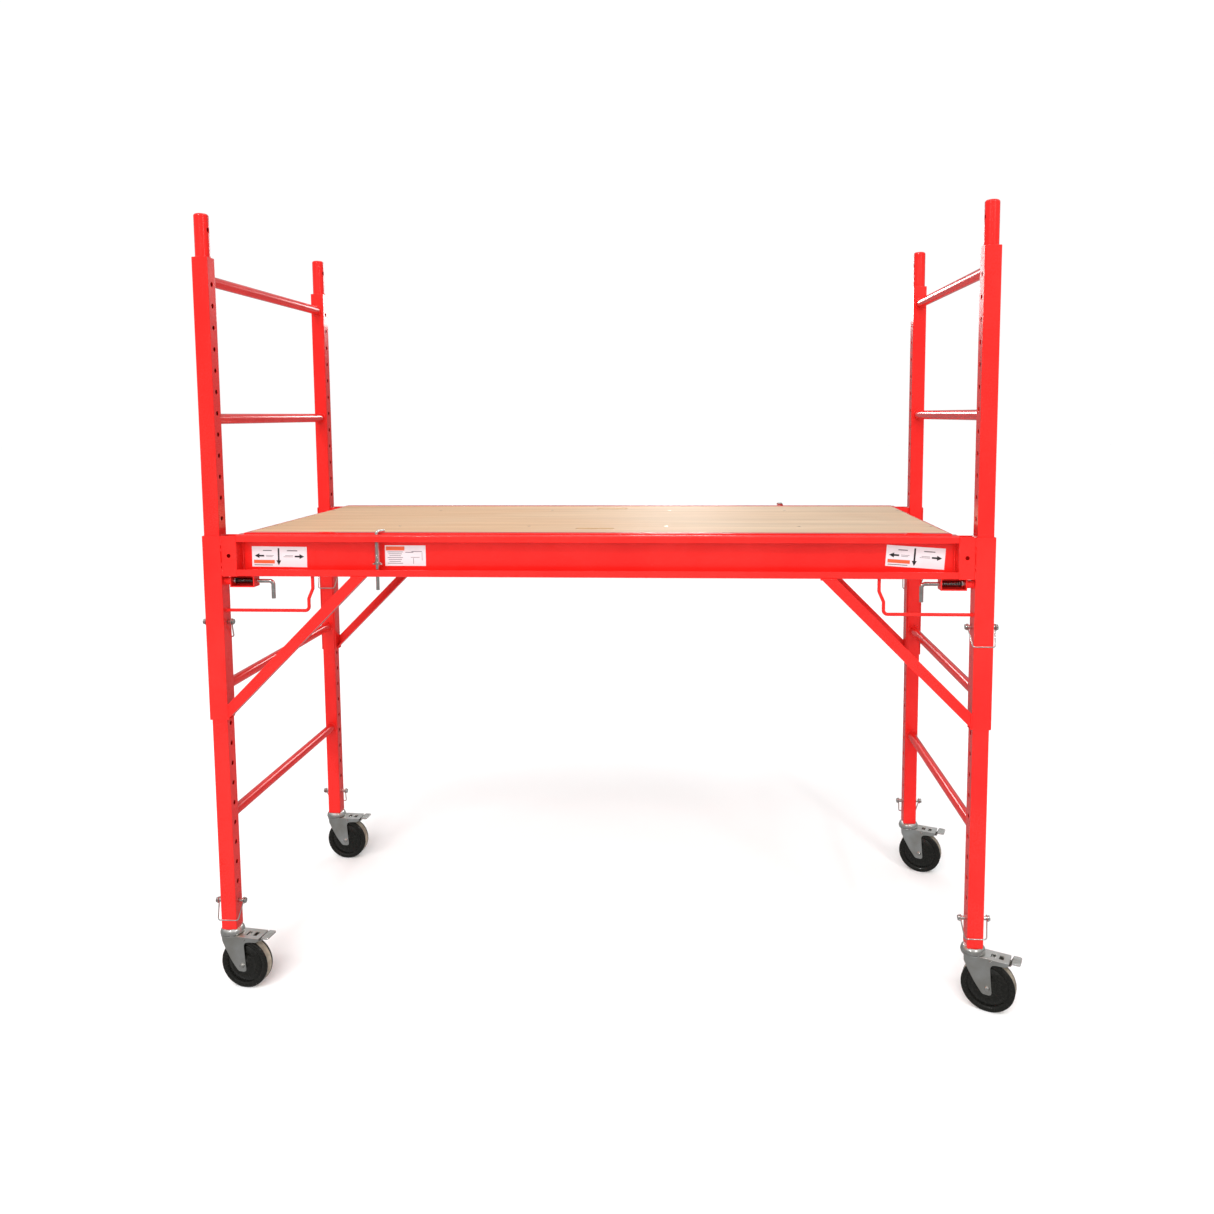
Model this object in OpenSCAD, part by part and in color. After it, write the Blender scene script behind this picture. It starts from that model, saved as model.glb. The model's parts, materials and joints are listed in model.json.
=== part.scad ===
// Baker scaffold: two ladder end frames, two drop-in side trusses, a plywood deck and four braked casters.
// X runs along the deck, Y across it and Z up. The floor is z = 0.

/* [End frames] */
// Side of the square post tube
post_w = 38.1; // [36:0.1:40]
// Wall of the post tube
post_wall = 2; // [1.6:0.2:2.6]
// Length of a post
post_len = 1653; // [1640:1:1700]
// Height of the post's lower end above the floor
post_foot = 152; // [150:1:160]
// Distance between post centres along the deck
post_gap_x = 1834; // [1800:1:1900]
// Distance between post centres across the deck
post_gap_y = 698.5; // [690:0.5:720]
// Diameter of the pin holes in the posts
hole_d = 11.2; // [10.6:0.1:12]
// Distance from one pin hole to the next
hole_pitch = 50.8; // [50.8:0.1:50.8]
// Number of pin holes in a post
hole_count = 31; // [31:1:31]
// Distance from a post's top to its first pin hole
hole_drop = 62.5; // [60:0.5:66]
// Diameter of a rung
rung_d = 25.4; // [22:0.1:28]
// Distance from one rung to the next
rung_pitch = 329.6; // [325:0.1:332]
// Distance from a post's top to the first rung
rung_drop = 51; // [48:1:54]
// Number of rungs in an end frame
rung_count = 5; // [4:1:5]

/* [Coupling pins] */
// Outer diameter of a coupling pin
coupler_d = 33.4; // [30:0.1:33.4]
// Length of a coupling pin that stands out of the post
coupler_out = 102; // [90:1:110]
// Length of a coupling pin inside the post
coupler_in = 50; // [40:1:54]

/* [Side trusses] */
// Height of the truss rail
rail_h = 101.6; // [98:0.1:104]
// Depth of the truss rail
rail_d = 38.1; // [36:0.1:39]
// Height of the top of the rail above the floor
rail_top = 1146.5; // [1144:0.5:1149]
// Sheet thickness of the rail, sleeves and housings
sheet = 2.5; // [2:0.1:2.8]
// Height of the rail's turned lips
lip_h = 17; // [14:1:20]
// Length of a post sleeve
sleeve_len = 454; // [440:1:460]
// Side of the angle iron in a knee brace
brace_w = 25.4; // [22:0.1:28]
// Distance from the middle of the deck to where a knee brace leaves the rail
brace_reach = 577; // [560:1:590]
// Diameter of the rod guard
guard_d = 8; // [6:0.5:9]

/* [Deck] */
// Length of the deck
deck_len = 1690; // [1660:1:1700]
// Thickness of the plywood
ply_t = 12.7; // [12:0.1:15]
// Length of a hand slot
slot_len = 97; // [90:1:110]
// Width of a hand slot
slot_w = 27; // [24:1:32]
// Distance from the deck's middle line to a hand slot
slot_y = 246; // [240:1:250]
// Distance from the deck's middle line to a row of screws
screw_y = 198; // [190:1:210]
// Distance from the deck's middle to the inner cross members
cross_x1 = 174; // [165:1:185]
// Distance from the deck's middle to the outer cross members
cross_x2 = 508; // [500:1:520]

/* [Locks and pins] */
// Diameter of the lock pins and latch rods
pin_d = 9.5; // [9:0.1:9.6]
// Post hole that the latch rod enters, counted from the top
latch_hole = 14; // [14:1:14]
// Post hole that the sleeve lock pin goes through, counted from the top
sleeve_pin_hole = 16; // [16:1:16]
// Diameter of the deck lock rod
lock_rod_d = 8; // [7:0.1:8.2]
// Distance from the middle of the deck to a deck lock
lock_x = 515; // [514:1:522]
// Wire of a bail
bail_wire = 3; // [2.6:0.1:3.2]

/* [Casters] */
// Diameter of a wheel
wheel_d = 125; // [120:1:126]
// Width of a wheel
wheel_w = 32; // [30:1:32]
// Distance from the swivel axis back to the axle
trail = 37.5; // [36:0.5:39]
// Way that each caster trails, turned from +X towards -Y, front left first and then anticlockwise
heading = [8, 25, 22, 4]; // [0:1:359]

/* [Hidden] */

$fn = 48;
eps = 0.01;
// The casters trail past one end and one side, so the origin moves to stay under the middle of the whole.
origin_x = 36;
origin_y = -16;
RED = [0.86, 0.10, 0.12];
ZINC = [0.72, 0.72, 0.70];

post_top = post_foot + post_len;
first_hole_z = post_top - hole_drop;
corner_r = 3.2;
// Corners in order: front left, front right, rear right, rear left.
side_x = [-1, 1, 1, -1];
side_y = [-1, -1, 1, 1];
FL = 0;
FR = 1;
RR = 2;
RL = 3;

function hole_z(i) = first_hole_z - i * hole_pitch;
function post_x(k) = side_x[k] * post_gap_x / 2;
function post_y(k) = side_y[k] * post_gap_y / 2;

// Truss, measured outward from the deck's middle on the front left quarter.
sleeve_gap = 0.6;
sleeve_half = post_w / 2 + sleeve_gap + sheet + 0.3;
sleeve_top = rail_top - 3;
sleeve_in_x = post_gap_x / 2 - sleeve_half;
truss_out_y = post_gap_y / 2 + post_w / 2 + 1.9;
spacer_x = sleeve_in_x - post_w / 2;
rail_end_x = sleeve_in_x - post_w;
rail_bottom = rail_top - rail_h;

// Deck, from the rail's top up.
lap_t = 2.5;
deck_top = rail_top + lap_t;
ply_top = deck_top - 0.4;
ply_bottom = ply_top - ply_t;
frame_in_y = truss_out_y - rail_d - 6;
lap_out_y = truss_out_y - 20;
edge_t = 3;
ply_len = deck_len - 2 * edge_t;
ply_wid = 2 * (frame_in_y - 0.4);
edge_screw_x = deck_len / 2 - 12;

lock_y = truss_out_y - 12;
lock_low = 1012;
lock_washer_z = 1077;
hook_z = deck_top + 0.6 + lock_rod_d / 2;

latch_z = hole_z(latch_hole);
latch_in_x = 818;
latch_out_x = 878;
latch_tip_x = post_gap_x / 2 - 3;
latch_leg_x = 777;
latch_collar_x = 868;
housing_t = 2.5;

pin_half = 38;
eye_x = 33;

axle_z = wheel_d / 2;
yoke_top = 136.5;
yoke_t = 3;
yoke_in = wheel_w / 2 + 3;
pedal_pivot = [44, 129.4];

// Puts the model's middle where the origin belongs.
module centred() {
    translate([-origin_x, -origin_y, 0]) children();
}

// One copy of the children at each post, facing outward from the deck's middle as on the front left one.
module at_corner(k) {
    flip_x = side_x[k] < 0 ? 0 : 1;
    flip_y = side_y[k] < 0 ? 0 : 1;
    mirror([flip_x, 0, 0]) mirror([0, flip_y, 0]) children();
}

// Front truss parts as drawn, rear truss parts turned half round.
module at_truss(rear) {
    rotate([0, 0, rear ? 180 : 0]) children();
}

// Square outline with round corners, made of squares and circles so its edges stay true arcs.
module round_square(w, h, r) {
    square([w - 2 * r, h], center = true);
    square([w, h - 2 * r], center = true);
    for (x = [-1, 1], y = [-1, 1])
        translate([x * (w / 2 - r), y * (h / 2 - r)]) circle(r, $fn = 32);
}

// Box given by its two corners.
module block(a, b) {
    translate(a) cube(b - a);
}

// Round bar through points of the XY plane, bent to radius r at each inner point.
module bent_rod(pts, r, d) {
    last = len(pts) - 1;
    function way(i) = (pts[i + 1] - pts[i]) / norm(pts[i + 1] - pts[i]);
    // Turn at an inner point, in degrees, positive to the left.
    function turn(i) = let (a = way(i - 1), b = way(i)) atan2(a[0] * b[1] - a[1] * b[0], a * b);
    // Length that the bend takes off the straights before and after a point.
    function trim(i) = r * tan(abs(turn(i)) / 2);
    // Each straight runs a little way into the bends, which are a hair thicker, so that they join cleanly.
    function cut(i) = i == 0 || i == last ? 0 : trim(i) - 0.3;
    for (i = [0 : last - 1]) {
        w = way(i);
        translate(pts[i] + w * cut(i)) rotate([0, 0, atan2(w[1], w[0])]) rotate([0, 90, 0])
            cylinder(d = d, h = norm(pts[i + 1] - pts[i]) - cut(i) - cut(i + 1), $fn = 32);
    }
    for (i = [1 : 1 : last - 1]) {
        w = way(i - 1);
        left = turn(i) > 0 ? 1 : -1;
        side = left * [-w[1], w[0]];
        first = atan2(-side[1], -side[0]);
        translate(pts[i] - w * trim(i) + side * r) rotate([0, 0, left > 0 ? first : first + turn(i)])
            rotate_extrude(angle = abs(turn(i))) translate([r, 0]) circle(d = d + 0.1, $fn = 32);
    }
}

// ---- End frames ----

module post(k) {
    translate([post_x(k), post_y(k), 0]) difference() {
        translate([0, 0, post_foot]) linear_extrude(post_len) difference() {
            round_square(post_w, post_w, corner_r);
            round_square(post_w - 2 * post_wall, post_w - 2 * post_wall, corner_r - 1.4);
        }
        for (i = [0 : hole_count - 1])
            translate([-post_w, 0, hole_z(i)]) rotate([0, 90, 0]) cylinder(d = hole_d, h = 2 * post_w);
    }
}

module posts_left() {
    color(RED) centred() { post(FL); post(RL); }
}

module posts_right() {
    color(RED) centred() { post(FR); post(RR); }
}

// Tube between the posts' facing walls with a weld collar at each end.
module rungs(side) {
    span = post_gap_y - post_w;
    collar_h = 4.5;
    collar_d = rung_d + 7;
    for (i = [0 : rung_count - 1])
        translate([side * post_gap_x / 2, -span / 2, post_top - rung_drop - i * rung_pitch])
            rotate([-90, 0, 0]) difference() {
                union() {
                    cylinder(d = rung_d, h = span);
                    cylinder(d1 = collar_d, d2 = rung_d, h = collar_h);
                    translate([0, 0, span - collar_h]) cylinder(d1 = rung_d, d2 = collar_d, h = collar_h);
                }
                translate([0, 0, -1]) cylinder(d = rung_d - 3.2, h = span + 2);
            }
}

module rungs_left() {
    color(RED) centred() rungs(-1);
}

module rungs_right() {
    color(RED) centred() rungs(1);
}

// Tube plugged into each post top, domed at its edge and cross drilled for a locking pin. Its full diameter
// starts just above the post, so that a post stacked on it slides over the whole of it.
module coupling_pins() {
    r = coupler_d / 2;
    neck_r = r - 0.7;
    neck_h = coupler_in + 1;
    dome = 6;
    wall = 2.6;
    end_t = 3.5;
    lock_hole_drop = 38;
    h = coupler_in + coupler_out;
    color(RED) centred() for (k = [FL : RL])
        translate([post_x(k), post_y(k), post_top - coupler_in]) difference() {
            rotate_extrude() difference() {
                union() {
                    square([neck_r, h - dome]);
                    translate([0, neck_h]) square([r, h - dome - neck_h]);
                    square([r - dome, h]);
                    translate([r - dome, h - dome]) circle(dome);
                }
                translate([-1, -1]) square([r - wall + 1, h + 1 - end_t]);
            }
            translate([-r - 1, 0, h - lock_hole_drop]) rotate([0, 90, 0]) cylinder(d = hole_d, h = coupler_d + 2);
        }
}

// ---- Side trusses ----

// Lipped channel with its open side outward.
module rail() {
    wall_y = -truss_out_y + rail_d / 2;
    translate([-rail_end_x, wall_y, rail_top - rail_h / 2]) difference() {
        rotate([90, 0, 90]) linear_extrude(2 * rail_end_x) difference() {
            round_square(rail_d, rail_h, 5);
            round_square(rail_d - 2 * sheet, rail_h - 2 * sheet, 2.5);
            translate([-rail_d / 2, 0]) square([rail_d - 8, rail_h - 2 * lip_h], center = true);
        }
        translate([rail_end_x - lock_x, -truss_out_y + 12 - wall_y, -rail_h])
            cylinder(d = lock_rod_d + 1, h = 2 * rail_h);
    }
    // Raised ears around the deck lock's holes.
    lock_at = [-lock_x, -lock_y, 0];
    for (z = [rail_top - sheet - 2, rail_bottom + sheet])
        translate(lock_at + [0, 0, z]) difference() {
            cylinder(d = 15, h = 2);
            translate([0, 0, -1]) cylinder(d = lock_rod_d + 1, h = 4);
        }
}

module truss_rail_front() {
    color(RED) centred() at_truss(false) rail();
}

module truss_rail_rear() {
    color(RED) centred() at_truss(true) rail();
}

// Channel that embraces a post from outside and is drilled for the latch rod and the lock pin.
module post_sleeves() {
    w_in = post_w + 2 * sleeve_gap;
    w_out = 2 * sleeve_half;
    web_t = sheet + 0.3;
    depth = web_t + sleeve_gap + post_w - 1.6;
    color(RED) centred() for (k = [FL : RL])
        at_corner(k) translate([-post_gap_x / 2, -post_gap_y / 2, 0]) difference() {
            translate([0, 0, sleeve_top - sleeve_len]) linear_extrude(sleeve_len)
                translate([0, -sleeve_half + depth / 2]) difference() {
                    round_square(w_out, depth, 2);
                    translate([-w_in / 2, -depth / 2 + web_t]) square([w_in, depth]);
                }
            for (i = [latch_hole, sleeve_pin_hole])
                translate([-post_w, 0, hole_z(i)]) rotate([0, 90, 0]) cylinder(d = hole_d, h = 2 * post_w);
        }
}

// Short square tube between a sleeve and the rail, open at the top, with a hole in its outer face.
module spacer_tubes() {
    h = sleeve_top - rail_bottom;
    color(RED) centred() for (k = [FL : RL])
        at_corner(k) translate([-spacer_x, -truss_out_y + post_w / 2, rail_bottom]) difference() {
            linear_extrude(h) difference() {
                round_square(post_w, post_w, corner_r);
                round_square(post_w - 2 * post_wall, post_w - 2 * post_wall, corner_r - 1.4);
            }
            translate([0, 0, h / 2 + 1]) rotate([90, 0, 0]) cylinder(d = 10, h = post_w);
        }
}

// Angle iron at 45 degrees, its flange along the lower edge pointing inward.
module knee_braces() {
    t = 3;
    out_y = -truss_out_y + 0.6;
    run = brace_w * sqrt(2);
    drop = sleeve_in_x - brace_reach;
    t_run = t * sqrt(2);
    // Outline in X and Z of a strip along the brace, between two distances below its upper edge.
    module strip(a, b, y0, y1) {
        translate([0, y1, 0]) rotate([90, 0, 0]) linear_extrude(y1 - y0) polygon([
            [-brace_reach + a, rail_bottom],
            [-brace_reach + b, rail_bottom],
            [-sleeve_in_x, rail_bottom - drop - b],
            [-sleeve_in_x, rail_bottom - drop - a]
        ]);
    }
    color(RED) centred() for (k = [FL : RL]) at_corner(k) {
        strip(0, run, out_y, out_y + t);
        strip(run - t_run, run, out_y, out_y + brace_w);
    }
}

// Folded housing of a latch, open to the front, with a guide bush that reaches the sleeve.
module latch_housings() {
    y0 = -post_gap_y / 2 - 15;
    y1 = -post_gap_y / 2 + 15;
    z0 = latch_z - 13.5;
    ear = housing_t;
    guide_d = pin_d + 0.6;
    color(RED) centred() for (k = [FL : RL]) at_corner(k) {
        difference() {
            union() {
                block([-latch_out_x, y0, z0], [-latch_in_x, y1, z0 + ear]);
                block([-latch_out_x, y1 - ear, z0], [-latch_in_x, y1, rail_bottom]);
                block([-latch_in_x - ear, y0, z0], [-latch_in_x, y1, rail_bottom]);
                block([-latch_out_x, y0, z0], [-latch_out_x + ear, y1, rail_bottom]);
                translate([-sleeve_in_x, -post_gap_y / 2, latch_z]) rotate([0, 90, 0])
                    cylinder(d = 19, h = sleeve_in_x - latch_out_x + eps);
            }
            translate([-sleeve_in_x - 1, -post_gap_y / 2, latch_z]) rotate([0, 90, 0])
                cylinder(d = guide_d, h = 100);
        }
    }
}

// Bent rod that keeps hands and clothing off the latch handle.
module handle_guards() {
    z_low = 958.5;
    x_bend = 690;
    x_top = 679;
    jog = [988, 1013];
    color(RED) centred() for (k = [FL : RL]) at_corner(k)
        translate([0, -post_gap_y / 2, 0]) rotate([90, 0, 0]) bent_rod([
            [-sleeve_in_x, z_low], [-x_bend, z_low], [-x_bend, jog[0]],
            [-x_top, jog[1]], [-x_top, rail_bottom]
        ], 10, guard_d);
}

// Plain stickers on the rail's web. Centre, size and tilt of each.
module rail_labels() {
    face_y = -truss_out_y + rail_d - sheet;
    labels = [[-765.5, 1088.3, 137, 50, 0.6], [-453, 1092, 100, 50, 0], [765, 1092, 137, 50, 3.8]];
    color("white") centred() for (rear = [false, true]) at_truss(rear)
        for (l = labels)
            translate([l[0], face_y, l[1]]) rotate([0, l[4], 0])
                block([-l[2] / 2, -0.4, -l[3] / 2], [l[2] / 2, 0, l[3] / 2]);
}

// ---- Deck ----

// Columns of screws along the deck. Their countersunk heads lie a little below the wood.
screw_xs = [-edge_screw_x, -cross_x2, -cross_x1, cross_x1, cross_x2, edge_screw_x];

head_d = 10.5;
head_low_d = 6.3;
head_h = 3;
head_sink = 0.3;
screw_hole_d = 6.2;
frame_hole_d = 5.4;

module deck_panel() {
    color([0.84, 0.72, 0.54]) centred() difference() {
        block([-ply_len / 2 + 0.3, -ply_wid / 2, ply_bottom], [ply_len / 2 - 0.3, ply_wid / 2, ply_top]);
        for (s = [-1, 1]) translate([0, s * slot_y, ply_bottom - 1]) {
            for (e = [-1, 1]) translate([e * (slot_len - slot_w) / 2, 0, 0])
                cylinder(d = slot_w, h = ply_t + 2);
            block([-(slot_len - slot_w) / 2, -slot_w / 2, 0], [(slot_len - slot_w) / 2, slot_w / 2, ply_t + 2]);
        }
        for (x = screw_xs, s = [-1, 1]) translate([x, s * screw_y, 0]) {
            translate([0, 0, ply_bottom - 1]) cylinder(d = screw_hole_d, h = ply_t + 2, $fn = 24);
            translate([0, 0, ply_top - head_sink - head_h]) cylinder(
                d1 = head_low_d + 0.1, d2 = head_d + 0.1 + (head_d - head_low_d) * (head_sink + eps) / head_h,
                h = head_h + head_sink + eps, $fn = 24
            );
        }
    }
}

// Steel edge: laps over the rails at the sides, with a ledge under the plywood all round.
module deck_frame() {
    ledge = 21;
    skirt = 34;
    z0 = deck_top - skirt;
    zl = ply_bottom;
    half = deck_len / 2;
    color(RED) centred() difference() {
        union() {
            for (s = [0, 1]) mirror([0, s, 0]) {
                block([-half, -lap_out_y, rail_top], [half, -frame_in_y, deck_top]);
                block([-half, -frame_in_y - lap_t, z0], [half, -frame_in_y, deck_top]);
                block([-half, -frame_in_y - eps, zl - lap_t], [half, -frame_in_y + ledge, zl]);
            }
            for (s = [0, 1]) mirror([s, 0, 0]) {
                block([half - edge_t, -frame_in_y - lap_t, z0], [half, frame_in_y + lap_t, deck_top]);
                block([half - edge_t - ledge, -frame_in_y, zl - lap_t], [half - edge_t + eps, frame_in_y, zl]);
            }
        }
        for (x = [-edge_screw_x, edge_screw_x], s = [-1, 1])
            translate([x, s * screw_y, zl - 10]) cylinder(d = frame_hole_d, h = 20, $fn = 24);
    }
}

// Hat sections under the plywood at the inner screw columns.
module deck_cross_members() {
    half_y = frame_in_y - 0.3;
    z1 = ply_bottom - lap_t;
    flange = 12;
    t = 2;
    h = 26;
    color(RED) centred() for (x = [-cross_x2, -cross_x1, cross_x1, cross_x2])
        translate([x, 0, 0]) difference() {
            union() {
                block([-19, -half_y, z1 - h], [19, half_y, z1]);
                block([-19, -half_y + 22, z1], [19, half_y - 22, ply_bottom]);
            }
            block([-19 + t, -half_y - 1, z1 - h - 1], [19 - t, half_y + 1, z1 - t]);
            for (s = [-1, 1]) translate([0, s * screw_y, z1 - h]) cylinder(d = frame_hole_d, h = 60, $fn = 24);
        }
}

module deck_screws() {
    shank = 22;
    head_z = ply_top - head_sink - head_h;
    color(ZINC) centred() for (x = screw_xs, s = [-1, 1]) translate([x, s * screw_y, 0]) {
        translate([0, 0, ply_top - shank]) cylinder(d = 4.8, h = shank - head_sink - head_h + eps, $fn = 24);
        translate([0, 0, head_z]) cylinder(d1 = head_low_d, d2 = head_d, h = head_h, $fn = 24);
    }
}

// Hook rod with its cross pin. The hook lies over the deck's steel edge.
module deck_lock_rod(rear) {
    reach = 20;
    color(ZINC) centred() at_truss(rear) translate([-lock_x, -lock_y, 0]) {
        rotate([0, 0, 45]) rotate([90, 0, 0])
            bent_rod([[0, lock_low], [0, hook_z], [reach, hook_z]], 7, lock_rod_d);
        translate([-11, 0, lock_washer_z - 2.2]) rotate([0, 90, 0]) cylinder(d = 3.6, h = 22, $fn = 24);
    }
}

module deck_lock_rod_front() { deck_lock_rod(false); }
module deck_lock_rod_rear() { deck_lock_rod(true); }

// Washer that rests on the cross pin and carries the spring.
module deck_lock_washer(rear) {
    color(ZINC) centred() at_truss(rear) translate([-lock_x, -lock_y, lock_washer_z]) difference() {
        cylinder(d = 18, h = 1.8);
        translate([0, 0, -1]) cylinder(d = lock_rod_d + 0.7, h = 4);
    }
}

module deck_lock_washer_front() { deck_lock_washer(false); }
module deck_lock_washer_rear() { deck_lock_washer(true); }

// Coil spring drawn as a stack of rings that touch a thin seam tube.
module coil(h, d, wire, turns) {
    pitch = (h - wire) / turns;
    rotate_extrude() union() {
        for (i = [0 : turns]) translate([(d - wire) / 2, wire / 2 + i * pitch]) circle(d = wire, $fn = 16);
        translate([(d - wire) / 2 - 0.15, wire / 2]) square([0.3, h - wire]);
    }
}

lock_spring_low = lock_washer_z + 1.8;
lock_spring_top = rail_top - sheet - 2;

module deck_lock_spring(rear) {
    color(ZINC) centred() at_truss(rear) translate([-lock_x, -lock_y, lock_spring_low])
        coil(lock_spring_top - lock_spring_low, 13, 1.4, 13);
}

module deck_lock_spring_front() { deck_lock_spring(false); }
module deck_lock_spring_rear() { deck_lock_spring(true); }

// ---- Latches ----

// L-shaped rod. Its tip stands in the post's hole and its collar pushes on the spring.
module latch_rod(k) {
    leg = 43;
    collar_t = 3;
    color(ZINC) centred() at_corner(k) translate([0, -post_gap_y / 2, 0]) {
        rotate([90, 0, 0]) bent_rod([
            [-latch_tip_x, latch_z], [-latch_leg_x, latch_z], [-latch_leg_x, latch_z - leg]
        ], 9, pin_d);
        translate([-latch_collar_x - collar_t, 0, latch_z]) rotate([0, 90, 0])
            cylinder(d = 15, h = collar_t);
    }
}

module latch_rod_fl() { latch_rod(FL); }
module latch_rod_fr() { latch_rod(FR); }
module latch_rod_rr() { latch_rod(RR); }
module latch_rod_rl() { latch_rod(RL); }

module latch_spring(k) {
    h = latch_collar_x - latch_in_x - housing_t;
    color([0.25, 0.25, 0.25]) centred() at_corner(k)
        translate([-latch_collar_x, -post_gap_y / 2, latch_z]) rotate([0, 90, 0]) coil(h, 15, 1.6, 10);
}

module latch_spring_fl() { latch_spring(FL); }
module latch_spring_fr() { latch_spring(FR); }
module latch_spring_rr() { latch_spring(RR); }
module latch_spring_rl() { latch_spring(RL); }

// ---- Lock pins and bails ----

// Straight pin through a post, with a collar at each end that keeps the bail on.
module lock_pin(k, hole) {
    translate([post_x(k), post_y(k), hole_z(hole)]) rotate([0, 90, 0]) {
        translate([0, 0, -pin_half]) cylinder(d = pin_d, h = 2 * pin_half);
        for (s = [-1, 1]) translate([0, 0, s * (pin_half - 1) - 1]) cylinder(d = pin_d + 3.5, h = 2);
    }
}

module sleeve_lock_pins() {
    color(ZINC) centred() for (k = [FL : RL]) lock_pin(k, sleeve_pin_hole);
}

module caster_lock_pins() {
    color(ZINC) centred() for (k = [FL : RL]) lock_pin(k, hole_count - 1);
}

// Wire bail that hangs from a pin's two ends and passes the post on the +Y or -Y side.
module bail(k, hole, way, clear_y) {
    drop = 42;
    half = 25.5;
    eye_wire = bail_wire + 0.4;
    ring = pin_d / 2 + 0.35 + eye_wire / 2;
    low = norm([clear_y, drop]);
    color(ZINC) centred() translate([post_x(k), post_y(k), hole_z(hole)])
        rotate([atan2(-drop, way * clear_y), 0, 0]) {
            for (s = [-1, 1]) translate([s * eye_x, 0, 0]) rotate([0, 90, 0])
                rotate_extrude() translate([ring, 0]) circle(d = eye_wire, $fn = 20);
            bent_rod([[-eye_x, ring], [-half, low], [half, low], [eye_x, ring]], 6, bail_wire);
        }
}

post_clear = post_w / 2 + bail_wire / 2 + 0.6;
web_clear = sleeve_half + bail_wire / 2 + 0.6;

module sleeve_pin_bail_fl() { bail(FL, sleeve_pin_hole, 1, post_clear); }
module sleeve_pin_bail_fr() { bail(FR, sleeve_pin_hole, -1, web_clear); }
module sleeve_pin_bail_rr() { bail(RR, sleeve_pin_hole, 1, web_clear); }
module sleeve_pin_bail_rl() { bail(RL, sleeve_pin_hole, -1, post_clear); }
module caster_pin_bail_fl() { bail(FL, hole_count - 1, -1, post_clear); }
module caster_pin_bail_fr() { bail(FR, hole_count - 1, -1, post_clear); }
module caster_pin_bail_rr() { bail(RR, hole_count - 1, 1, post_clear); }
module caster_pin_bail_rl() { bail(RL, hole_count - 1, 1, post_clear); }

// ---- Casters ----

// Caster frame: origin on the floor under the swivel axis, +X the way that the caster trails.
module at_caster(k) {
    translate([post_x(k), post_y(k), 0]) rotate([0, 0, -heading[k]]) children();
}

// Tube stem in the post, domed upper race and kingpin, all fixed to the post.
module caster_stems() {
    stem_d = 32;
    stem_top = post_foot + 100;
    race_r = 29;
    pin_z = hole_z(hole_count - 1);
    color(ZINC) centred() for (k = [FL : RL]) translate([post_x(k), post_y(k), 0]) {
        difference() {
            translate([0, 0, post_foot - 2]) cylinder(d = stem_d, h = stem_top - post_foot + 2);
            translate([0, 0, post_foot + 4]) cylinder(d = stem_d - 7, h = 120);
            translate([-stem_d, 0, pin_z]) rotate([0, 90, 0]) cylinder(d = hole_d, h = 2 * stem_d);
        }
        rotate_extrude() difference() {
            polygon([
                [0, post_foot], [22, post_foot], [25, 150], [27.5, 146.5], [race_r, 141],
                [race_r, 138], [race_r - 2, 138], [race_r - 2.5, 141], [22, 143], [0, 143]
            ]);
            translate([22, 139.9]) circle(3.35, $fn = 32);
        }
        translate([0, 0, yoke_top - yoke_t - 0.4]) cylinder(d = 12, h = 12);
        translate([0, 0, yoke_top - yoke_t - 4.4]) cylinder(d = 20, h = 4);
    }
}

// Ball ring between the race and the yoke.
module swivel_balls() {
    balls = 16;
    color(ZINC) centred() for (k = [FL : RL]) translate([post_x(k), post_y(k), 139.9])
        for (i = [0 : balls - 1]) rotate([0, 0, 360 * i / balls]) translate([22, 0, 0])
            sphere(d = 6, $fn = 24);
}

// Side plate outline of the yoke: distance behind the swivel axis, and height.
yoke_side = [
    [-18, yoke_top], [-18, 118], [-8, 98], [7, 73], [24, 50], [28.5, 46.5], [42, 46],
    [47, 48.5], [48, 54], [45.5, 82], [43.5, 113], [45, 118.5], [49, 122.3], [56, 124],
    [76, 125], [83, 129], [85, yoke_top]
];

module caster_yoke(k) {
    arm_w = 2 * (yoke_in + yoke_t);
    color(ZINC) centred() at_caster(k) difference() {
        union() {
            for (s = [0, 1]) mirror([0, s, 0]) translate([0, -yoke_in, 0])
                rotate([90, 0, 0]) linear_extrude(yoke_t) polygon(yoke_side);
            translate([0, 0, yoke_top - yoke_t]) linear_extrude(yoke_t) {
                circle(28);
                translate([-18, -arm_w / 2]) square([103, arm_w]);
            }
        }
        translate([0, 0, yoke_top - 10]) cylinder(d = 12.8, h = 20);
        translate([trail, -40, axle_z]) rotate([-90, 0, 0]) cylinder(d = 10.1, h = 80);
        translate([pedal_pivot[0], -40, pedal_pivot[1]]) rotate([-90, 0, 0]) cylinder(d = 4.6, h = 80);
        for (x = [47, 66]) block([x - 5, -9, yoke_top - 5], [x + 5, 9, yoke_top + 1]);
    }
}

module caster_yoke_fl() { caster_yoke(FL); }
module caster_yoke_fr() { caster_yoke(FR); }
module caster_yoke_rr() { caster_yoke(RR); }
module caster_yoke_rl() { caster_yoke(RL); }

// Axle bolt with a domed head and nut, and the brake's pivot rivet above it.
module caster_axle(k) {
    half = yoke_in + yoke_t;
    color(ZINC) centred() at_caster(k) {
        translate([trail, -half - 2, axle_z]) rotate([-90, 0, 0]) cylinder(d = 10, h = 2 * half + 4);
        for (s = [0, 1]) mirror([0, s, 0]) {
            translate([trail, -half - 0.05, axle_z]) rotate([90, 0, 0]) cylinder(d1 = 14, d2 = 9, h = 5);
            translate([pedal_pivot[0], -half - 0.05, pedal_pivot[1]]) rotate([90, 0, 0])
                cylinder(d1 = 8, d2 = 5, h = 2);
        }
        translate([pedal_pivot[0], -half - 1, pedal_pivot[1]]) rotate([-90, 0, 0])
            cylinder(d = 4.4, h = 2 * half + 2);
    }
}

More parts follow.
